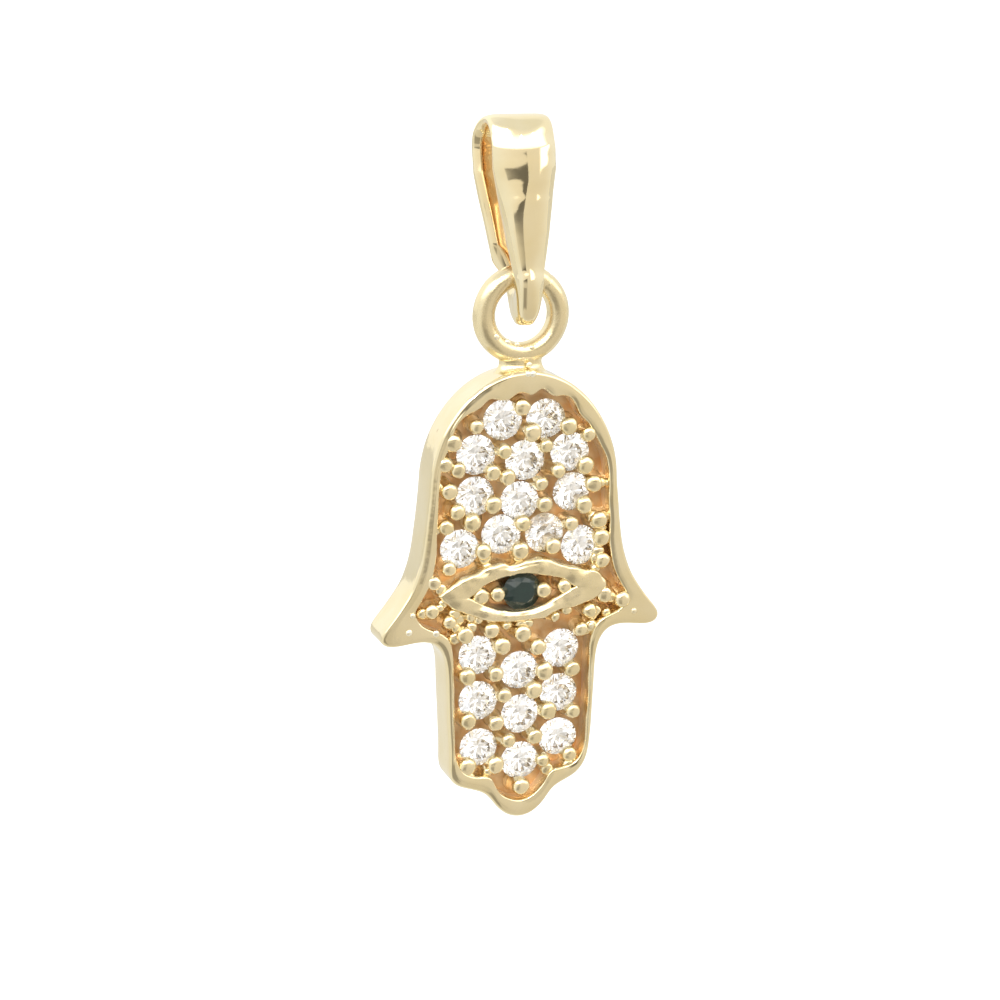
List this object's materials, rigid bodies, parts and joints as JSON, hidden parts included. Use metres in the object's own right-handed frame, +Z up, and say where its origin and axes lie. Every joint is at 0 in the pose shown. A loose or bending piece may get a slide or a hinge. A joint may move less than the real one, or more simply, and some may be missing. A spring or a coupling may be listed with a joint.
{
  "type": "hand pendant",
  "caption": "Domed hand pendant with flared thumbs and joined fingers, its sunk face set with round stones about an almond eye, hung by a top ring on a tapered bail.",
  "frame": {"origin": "where a chain bears: the top of the opening in the bail's upper curve, on the middle line", "axes": "+X to the right as the face is seen, -Y out of the face, +Z up towards the chain"},
  "size_m": [0.009, 0.0024, 0.0216],
  "materials": {
    "gold": "polished cast yellow gold",
    "white_stone": "cut and polished",
    "dark_stone": "cut and polished"
  },
  "bodies": {
    "bail": {"bail": "gold"},
    "hand": {"hand_setting": "gold", "eye_stone": "dark_stone", "stone_01": "white_stone", "stone_02": "white_stone", "stone_03": "white_stone", "stone_04": "white_stone", "stone_05": "white_stone", "stone_06": "white_stone", "stone_07": "white_stone", "stone_08": "white_stone", "stone_09": "white_stone", "stone_10": "white_stone", "stone_11": "white_stone", "stone_12": "white_stone", "stone_13": "white_stone", "stone_14": "white_stone", "stone_15": "white_stone", "stone_16": "white_stone", "stone_17": "white_stone", "stone_18": "white_stone", "stone_19": "white_stone", "stone_20": "white_stone", "stone_21": "white_stone"}
  },
  "joints": [
    {"name": "hand_swing", "type": "hinge", "parent": "bail", "child": "hand", "pos_m": [0, -0.00065, -0.00431], "axis": [1, 0, 0], "range_deg": [-150, 130]}
  ]
}
